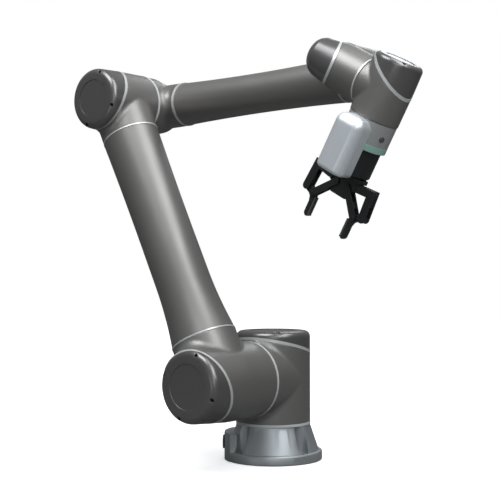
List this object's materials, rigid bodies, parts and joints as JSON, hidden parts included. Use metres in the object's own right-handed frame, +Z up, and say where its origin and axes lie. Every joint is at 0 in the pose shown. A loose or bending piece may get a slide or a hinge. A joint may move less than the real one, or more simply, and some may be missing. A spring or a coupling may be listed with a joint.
{
  "type": "collaborative robot arm",
  "caption": "Jointed robot arm on a round bolt-down foot, with tubular links, a wrist camera and a parallel gripper.",
  "frame": {"origin": "centre of the foot's mounting face, on the axis of joint 1", "axes": "+Z up out of the bench, along joint 1; +X the way the arm reaches; -Y the side that carries the upper arm"},
  "size_m": [0.7803, 0.3651, 0.8079],
  "materials": {
    "housing_paint": "satin metallic anthracite",
    "cap_dark": "satin",
    "ring_light": "satin",
    "seal_light": "matt",
    "foot_metal": "satin painted",
    "connector_black": "moulded",
    "steel_flange": "turned",
    "drive_steel": "turned",
    "screw_steel": "black oxide",
    "end_grey": "satin",
    "light_ring": "translucent",
    "camera_shell": "silver paint",
    "lens_glass": "coated",
    "button_dark": "moulded",
    "gripper_black": "black anodised",
    "pad_rubber": "ribbed"
  },
  "bodies": {
    "base": {"base_casting": "foot_metal", "base_connector": "connector_black", "j1_output_hub": "steel_flange"},
    "shoulder": {"shoulder_housing": "housing_paint", "j1_seal": "seal_light", "shoulder_cap": "cap_dark", "shoulder_cap_ring": "ring_light", "shoulder_cap_screws": "screw_steel", "j1_drive": "drive_steel", "j2_output_hub": "steel_flange"},
    "upper_arm": {"j2_housing": "housing_paint", "j2_seal": "seal_light", "j2_cap": "cap_dark", "j2_cap_ring": "ring_light", "upper_arm_tube": "housing_paint", "upper_arm_collars": "ring_light", "elbow_housing": "housing_paint", "j3_seal": "seal_light", "j3_cap": "cap_dark", "j3_cap_ring": "ring_light", "upper_arm_cap_screws": "screw_steel", "j2_drive": "drive_steel", "j3_drive": "drive_steel"},
    "forearm": {"forearm_elbow": "housing_paint", "forearm_tube": "housing_paint", "forearm_collars": "ring_light", "forearm_wrist_housing": "housing_paint", "j4_cap": "cap_dark", "j4_cap_ring": "ring_light", "forearm_cap_screws": "screw_steel", "j3_output_hub": "steel_flange", "j4_drive": "drive_steel"},
    "wrist_1": {"wrist1_housing": "housing_paint", "j4_output_hub": "steel_flange", "j5_cap": "cap_dark", "j5_cap_ring": "ring_light", "wrist1_cap_screws": "screw_steel", "j5_drive": "drive_steel"},
    "wrist_2": {"wrist2_housing": "housing_paint", "j5_output_hub": "steel_flange", "j6_cap": "cap_dark", "j6_cap_ring": "ring_light", "wrist2_cap_screws": "screw_steel", "j6_drive": "drive_steel"},
    "tool": {"end_module": "end_grey", "light_ring": "light_ring", "tool_flange": "steel_flange", "camera_housing": "camera_shell", "camera_lens": "lens_glass", "gripper_body": "gripper_black", "gripper_palm": "gripper_black"},
    "free_button": {"free_button": "button_dark"},
    "left_outer": {"left_outer_link": "gripper_black"},
    "left_inner": {"left_inner_link": "gripper_black"},
    "left_finger": {"left_fingertip": "gripper_black", "left_pad": "pad_rubber"},
    "right_outer": {"right_outer_link": "gripper_black"},
    "right_inner": {"right_inner_link": "gripper_black"},
    "right_finger": {"right_fingertip": "gripper_black", "right_pad": "pad_rubber"}
  },
  "joints": [
    {"name": "joint_1", "type": "hinge", "parent": "base", "child": "shoulder", "pos_m": [0, 0, 0], "axis": [0, 0, 1], "range_deg": [-270, 270]},
    {"name": "joint_2", "type": "hinge", "parent": "shoulder", "child": "upper_arm", "pos_m": [0, 0, 0.1652], "axis": [0, 1, 0], "range_deg": [-153.8, 206.2]},
    {"name": "joint_3", "type": "hinge", "parent": "upper_arm", "child": "forearm", "pos_m": [-0.28084, 0, 0.73595], "axis": [0, 1, 0], "range_deg": [-276, 27]},
    {"name": "joint_4", "type": "hinge", "parent": "forearm", "child": "wrist_1", "pos_m": [0.27689, 0, 0.74958], "axis": [0, 1, 0], "range_deg": [-210.9, 149.1]},
    {"name": "joint_5", "type": "hinge", "parent": "wrist_1", "child": "wrist_2", "pos_m": [0.36915, -0.1563, 0.69738], "axis": [0.8704, 0, -0.4924], "range_deg": [-195, 29]},
    {"name": "joint_6", "type": "hinge", "parent": "wrist_2", "child": "tool", "pos_m": [0.36915, -0.1563, 0.69738], "axis": [-0.4924, 0, -0.8704], "range_deg": [-270, 270]},
    {"name": "left_outer_pivot", "type": "hinge", "parent": "tool", "child": "left_outer", "pos_m": [0.25541, -0.1563, 0.55848], "axis": [0, -1, 0], "range_deg": [0, 41.9]},
    {"name": "left_inner_pivot", "type": "hinge", "parent": "tool", "child": "left_inner", "pos_m": [0.26778, -0.1563, 0.54401], "axis": [0, -1, 0], "range_deg": [0, 41.9]},
    {"name": "left_tip_pivot", "type": "hinge", "parent": "left_outer", "child": "left_finger", "pos_m": [0.20151, -0.1563, 0.53957], "axis": [0, -1, 0], "range_deg": [-41.9, 0]},
    {"name": "right_outer_pivot", "type": "hinge", "parent": "tool", "child": "right_outer", "pos_m": [0.30867, -0.1563, 0.52835], "axis": [0, 1, 0], "range_deg": [0, 41.9]},
    {"name": "right_inner_pivot", "type": "hinge", "parent": "tool", "child": "right_inner", "pos_m": [0.28989, -0.1563, 0.5315], "axis": [0, 1, 0], "range_deg": [0, 41.9]},
    {"name": "right_tip_pivot", "type": "hinge", "parent": "right_outer", "child": "right_finger", "pos_m": [0.32022, -0.1563, 0.47241], "axis": [0, 1, 0], "range_deg": [-41.9, 0]},
    {"name": "button_press", "type": "slide", "parent": "tool", "child": "free_button", "axis": [-0.8229, 0.3256, 0.4656], "range_m": [0, 0.0015], "stiffness_N_per_m": 800}
  ],
  "couplings": [
    {"joint": "left_inner_pivot", "follows": "left_outer_pivot", "ratio": 1},
    {"joint": "left_tip_pivot", "follows": "left_outer_pivot", "ratio": -1},
    {"joint": "right_outer_pivot", "follows": "left_outer_pivot", "ratio": 1},
    {"joint": "right_inner_pivot", "follows": "left_outer_pivot", "ratio": 1},
    {"joint": "right_tip_pivot", "follows": "left_outer_pivot", "ratio": -1}
  ]
}
